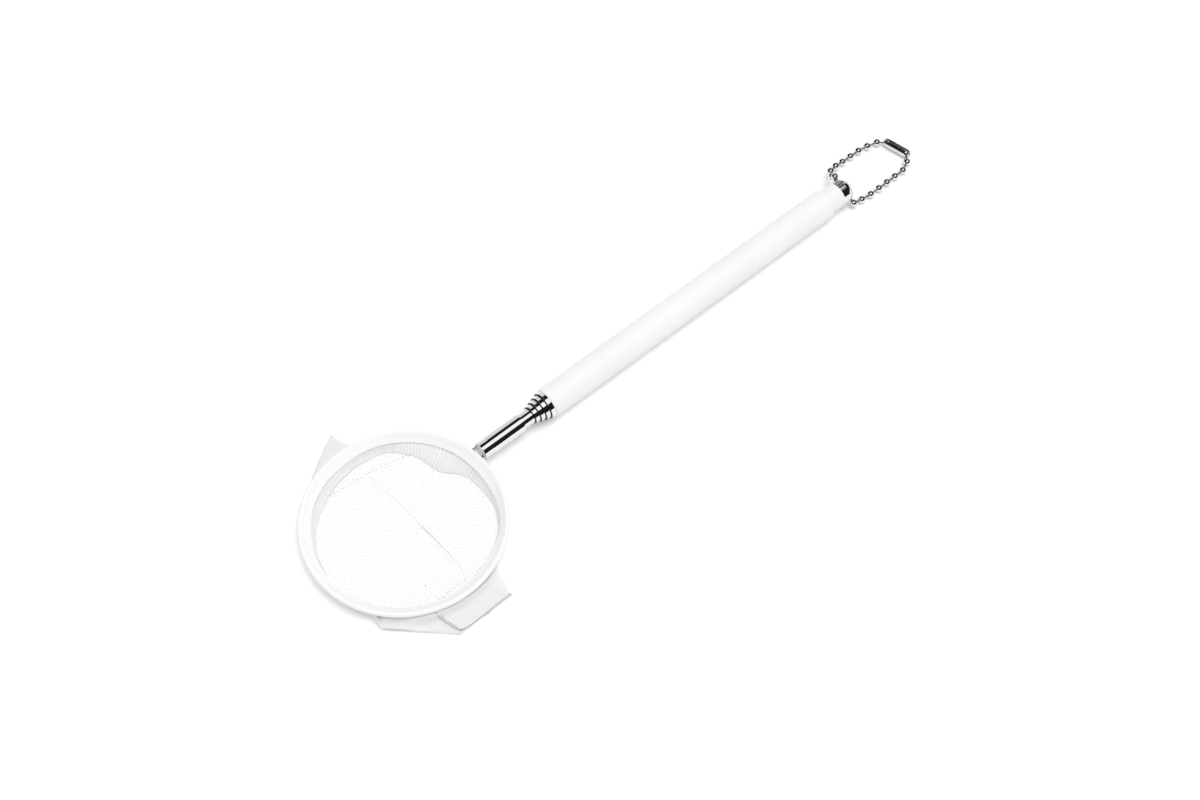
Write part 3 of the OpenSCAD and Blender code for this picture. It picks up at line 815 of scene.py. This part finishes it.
class FISHNET_OT_handle(bpy.types.Operator):
    """Soft white sleeve, satin collar and the hidden plastic pieces"""

    bl_idname = "fishnet.handle"
    bl_label = "Finish the Handle"

    def execute(self, context):
        colour = context.scene.fishnet_colours.grip
        refinish(["grip_sleeve"], moulded("grip_sleeve", colour, 0.42, 1500.0, 0.00004, 0.05))
        refinish(["end_collar"], moulded("collar_white", tint(colour, 0.985)[:3], 0.33, 2400.0, 0.00002))
        stops = [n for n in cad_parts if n.endswith("_stop")]
        refinish(stops, moulded("nylon_stop", (0.80, 0.79, 0.76), 0.45))
        refinish(["wire_core"], moulded("white_core", (0.90, 0.90, 0.89), 0.5))
        return {"FINISHED"}


class FISHNET_OT_bag(bpy.types.Operator):
    """The collapsed mesh bag with its folds and flaps"""

    bl_idname = "fishnet.bag"
    bl_label = "Make the Bag"

    def execute(self, context):
        sizes = context.scene.fishnet_cloth
        colour = context.scene.fishnet_colours.cloth
        cloth = open_mesh("net_mesh", colour, sizes.mesh_pitch, sizes.mesh_thread)
        verts, faces, uvs, layers = bag_mesh(sizes)
        bag = put_mesh("bag_mesh", verts, faces, cloth, uvs)
        bag.data.attributes.new("layers", "FLOAT", "POINT").data.foreach_set("value", layers)
        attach(bag, "head")
        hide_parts("net_bag")
        return {"FINISHED"}


class FISHNET_OT_hem(bpy.types.Operator):
    """The puckered tape hem round the wire, with its two rows of stitches and the row at its edge, whose
    grey thread is painted shade
    """

    bl_idname = "fishnet.hem"
    bl_label = "Make the Hem"

    def execute(self, context):
        sizes = context.scene.fishnet_cloth
        colours = context.scene.fishnet_colours
        verts, faces, uvs = hem_mesh(sizes)
        hem = put_mesh("hem_tape", verts, faces, woven_tape("hem_tape", colours.tape), uvs)
        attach(hem, "head")
        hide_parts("hem")
        thread = spun_thread("hem_thread", tint(colours.tape, 0.97)[:3])
        rows = []
        for share in (0.34, 0.86):
            height = 0.72 * MM * (1 - share) - sizes.band_drop * share + 0.28 * MM
            rows.append(ring_path(lambda a, share=share: WIRE_RING - band_at(a, sizes) * share,
                                  height, 0.08 * MM, share))
        stitches = stitch_along("hem_stitches", rows, True, thread, sizes)
        # Painted shade: the row at the band's inner edge is sewn in grey thread (0.74 of the tape) for the
        # shade under that edge.
        edge = ring_path(lambda a: WIRE_RING - band_at(a, sizes) - 0.20 * MM,
                         0.04 * MM - sizes.band_drop, 0.05 * MM, 4.0)
        dark = spun_thread("edge_painted_shade", tint(colours.tape, 0.74)[:3])
        border = stitch_along("hem_edge_row", [edge], True, dark, sizes,
                              0.8 * MM, 0.75 * MM, 0.10 * MM)
        for row in (stitches, border):
            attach(row, "head")
        return {"FINISHED"}


class FISHNET_OT_seams(bpy.types.Operator):
    """Stitched seams of the boxed bottom and stitched edges of the flaps, in grey threads that paint the
    shade along them
    """

    bl_idname = "fishnet.seams"
    bl_label = "Sew the Bottom"

    def execute(self, context):
        sizes = context.scene.fishnet_cloth
        cloth = context.scene.fishnet_colours.cloth
        # Painted shade: the seams' and flap edges' thread is dark grey (0.40 of the cloth) for the shade
        # along the seams and the flaps' stitched edges.
        thread = spun_thread("seam_shade_grey", tint(cloth, 0.40)[:3])
        # Painted shade: the flap borders' thread is grey (0.72 of the cloth) for the shade along the folded
        # flaps' edges.
        border_shade_grey = spun_thread("border_painted_shade", tint(cloth, 0.72)[:3])
        dashed = [self.on_floor(line) for line in FLOOR_SEAMS if line is not MIDDLE_SEAM]
        rows = [
            stitch_along("bottom_seams", dashed, False, thread, sizes, 1.7 * MM, 1.1 * MM, 0.14 * MM),
            stitch_along("middle_seam", [self.on_floor(MIDDLE_SEAM)], False, thread, sizes,
                         0.9 * MM, 1.30 * MM, 0.13 * MM),
            stitch_along("flap_edges", [self.on_flap(line) for line in (FLAP_OUTER, FLAP_SIDE, FLAP_KNOT)],
                         False, thread, sizes, 0.75 * MM, 1.05 * MM, 0.14 * MM),
            stitch_along("flap_borders",
                         [self.at_height(line, 0.75 * MM) for line in (LOWER_EDGE, UPPER_EDGE)],
                         False, border_shade_grey, sizes, 0.95 * MM, 0.9 * MM, 0.10 * MM),
        ]
        for row in rows:
            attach(row, "head")
        return {"FINISHED"}

    def placed(self, line, height):
        """Points along a line in millimetres, at the height that a function gives over the table."""
        return [(HOOP_X + x, HOOP_Y + y, TABLE_Z + height(x, y)) for x, y in smooth_line(line, 14) * MM]

    def on_floor(self, line):
        return self.placed(line, lambda x, y: floor_height(x, y, 0.0) + 0.06 * MM)

    def on_flap(self, line):
        return self.placed(line, lambda x, y: flap_height(x, y) + 0.02 * MM)

    def at_height(self, line, height):
        return self.placed(line, lambda x, y: height)


class FISHNET_OT_stage(bpy.types.Operator):
    """White table, soft light and the camera"""

    bl_idname = "fishnet.stage"
    bl_label = "Set the Stage"

    def execute(self, context):
        stage = context.scene.fishnet_stage
        self.table()
        self.world(stage)
        self.key(stage)
        self.camera(context, stage)
        context.scene.view_settings.view_transform = "Standard"
        return {"FINISHED"}

    def table(self):
        material = bpy.data.materials.new("table_white")
        material.use_nodes = True
        tree = material.node_tree
        tree.nodes.clear()
        n = Nodes(tree)
        out = n.add("ShaderNodeOutputMaterial")
        matte = n.add("ShaderNodeBsdfDiffuse")
        matte.inputs["Color"].default_value = (0.94, 0.94, 0.94, 1)
        glow = n.add("ShaderNodeEmission")
        path = n.add("ShaderNodeLightPath")
        n.link(n.math("MULTIPLY", path.outputs["Is Camera Ray"], 0.12), glow.inputs["Strength"])
        both = n.add("ShaderNodeAddShader")
        n.link(matte.outputs[0], both.inputs[0])
        n.link(glow.outputs[0], both.inputs[1])
        n.link(both.outputs[0], out.inputs[0])
        half = 3.0
        z = TABLE_Z - 0.02 * MM
        floor = put_mesh("table", [(-half, -half, z), (half, -half, z), (half, half, z), (-half, half, z)],
                         [(0, 1, 2, 3)], material)

    def world(self, stage):
        world = bpy.data.worlds.new("studio")
        bpy.context.scene.world = world
        world.use_nodes = True
        tree = world.node_tree
        tree.nodes.clear()
        n = Nodes(tree)
        out = n.add("ShaderNodeOutputWorld")
        path = n.add("ShaderNodeLightPath")
        direction = n.add("ShaderNodeTexCoord").outputs["Generated"]
        plain = n.add("ShaderNodeBackground")
        plain.inputs["Color"].default_value = (1, 1, 1, 1)
        plain.inputs["Strength"].default_value = stage.fill
        seen = n.add("ShaderNodeBackground")
        seen.inputs["Color"].default_value = (1, 1, 1, 1)
        axes = n.add("ShaderNodeSeparateXYZ")
        n.link(direction, axes.inputs[0])
        # The studio's bright panels, which the plating mirrors; tilt and lean are degrees from overhead
        tilt = n.math("DEGREES", n.math("ARCTAN2", axes.outputs[1], axes.outputs[2]))
        lean = n.math("DEGREES", n.math("ARCTAN2", axes.outputs[0], axes.outputs[2]))
        side = axes.outputs[0]
        near_rod = n.math("MINIMUM", n.ranged(side, 0.16, 0.24, 0.0, 1.0),
                          n.ranged(side, 0.37, 0.42, 1.0, 0.0))
        near_cap = n.math("MINIMUM", n.ranged(side, 0.42, 0.45, 0.0, 0.4),
                          n.ranged(side, 0.50, 0.54, 0.4, 0.0))
        window = n.math("MAXIMUM", near_rod, near_cap)
        back = n.math("MULTIPLY", n.ranged(tilt, 37.0, 44.0, 0.0, 0.74), window)
        behind = n.math("MINIMUM", n.ranged(axes.outputs[1], 0.24, 0.31, 0.0, 1.0),
                        n.ranged(axes.outputs[1], 0.43, 0.50, 1.0, 0.0))
        middle = n.math("MINIMUM", n.ranged(lean, -6.0, 0.0, 0.0, 0.33),
                        n.ranged(lean, 12.0, 15.5, 0.33, 0.0))
        low_right = n.math("ADD", n.ranged(lean, 22.0, 28.0, 0.0, 0.26),
                           n.ranged(lean, 28.0, 76.0, 0.0, 0.27))
        right = n.math("MULTIPLY", n.math("MAXIMUM", middle, low_right), behind)
        left = n.math("MULTIPLY", n.ranged(lean, -48.0, -80.0, 0.0, 0.76), behind)
        ends = n.math("MAXIMUM", n.math("MAXIMUM", left, right), 0.012)
        over = n.math("MINIMUM", n.math("MINIMUM", n.ranged(tilt, -37.0, -33.0, 0.0, 1.0),
                                        n.ranged(tilt, 1.0, 7.0, 1.0, 0.0)),
                      n.ranged(n.math("ABSOLUTE", n.math("ADD", lean, 7.0)), 33.0, 39.0, 1.0, 0.0))
        shown = n.math("MAXIMUM", back, n.math("MAXIMUM", ends, over))
        n.link(n.math("MAXIMUM", shown, path.outputs["Is Camera Ray"]), seen.inputs["Strength"])
        pick = n.add("ShaderNodeMixShader")
        ray = n.math("MAXIMUM", path.outputs["Is Camera Ray"],
                     n.math("MAXIMUM", path.outputs["Is Glossy Ray"], path.outputs["Is Transmission Ray"]))
        n.link(ray, pick.inputs[0])
        n.link(plain.outputs[0], pick.inputs[1])
        n.link(seen.outputs[0], pick.inputs[2])
        n.link(pick.outputs[0], out.inputs[0])

    def key(self, stage):
        lamp = bpy.data.lights.new("key", "SUN")
        lamp.energy = stage.light
        lamp.angle = math.radians(36)
        thing = bpy.data.objects.new("key", lamp)
        bpy.context.scene.collection.objects.link(thing)
        thing.visible_glossy = False
        overhead = Vector((0.10, -0.16, 1.0))
        thing.rotation_mode = "QUATERNION"
        thing.rotation_quaternion = overhead.to_track_quat("Z", "Y")

    def camera(self, context, stage):
        data = bpy.data.cameras.new("camera")
        data.lens = stage.lens
        data.sensor_width = 36.0
        data.clip_start = 0.01
        data.clip_end = 20.0
        thing = bpy.data.objects.new("camera", data)
        context.scene.collection.objects.link(thing)
        thing.location = stage.camera_place
        look = Vector(stage.camera_aim) - Vector(stage.camera_place)
        thing.rotation_mode = "QUATERNION"
        thing.rotation_quaternion = look.to_track_quat("-Z", "Y")
        context.scene.camera = thing


class FISHNET_PT_panel(bpy.types.Panel):
    """Steps of the build, in order"""

    bl_idname = "FISHNET_PT_panel"
    bl_label = "Hoop Fish Net"
    bl_space_type = "VIEW_3D"
    bl_region_type = "UI"
    bl_category = "Fish Net"

    def draw(self, context):
        column = self.layout.column()
        for operator in OPERATORS:
            column.operator(operator.bl_idname)
        scene = context.scene
        for group in (scene.fishnet_cloth, scene.fishnet_colours, scene.fishnet_stage):
            box = self.layout.box()
            for name in group.__annotations__:
                box.prop(group, name)


GROUPS = (FishNetCloth, FishNetColours, FishNetStage)
OPERATORS = (FISHNET_OT_plating, FISHNET_OT_handle, FISHNET_OT_bag, FISHNET_OT_hem, FISHNET_OT_seams,
             FISHNET_OT_stage)


def register():
    for cls in (*GROUPS, *OPERATORS, FISHNET_PT_panel):
        bpy.utils.register_class(cls)
    bpy.types.Scene.fishnet_cloth = PointerProperty(type=FishNetCloth)
    bpy.types.Scene.fishnet_colours = PointerProperty(type=FishNetColours)
    bpy.types.Scene.fishnet_stage = PointerProperty(type=FishNetStage)


def unregister():
    del bpy.types.Scene.fishnet_cloth
    del bpy.types.Scene.fishnet_colours
    del bpy.types.Scene.fishnet_stage
    for cls in reversed((*GROUPS, *OPERATORS, FISHNET_PT_panel)):
        bpy.utils.unregister_class(cls)


def main():
    register()
    bpy.ops.fishnet.plating()
    bpy.ops.fishnet.handle()
    bpy.ops.fishnet.bag()
    bpy.ops.fishnet.hem()
    bpy.ops.fishnet.seams()
    bpy.ops.fishnet.stage()


if __name__ == "__main__":
    main()
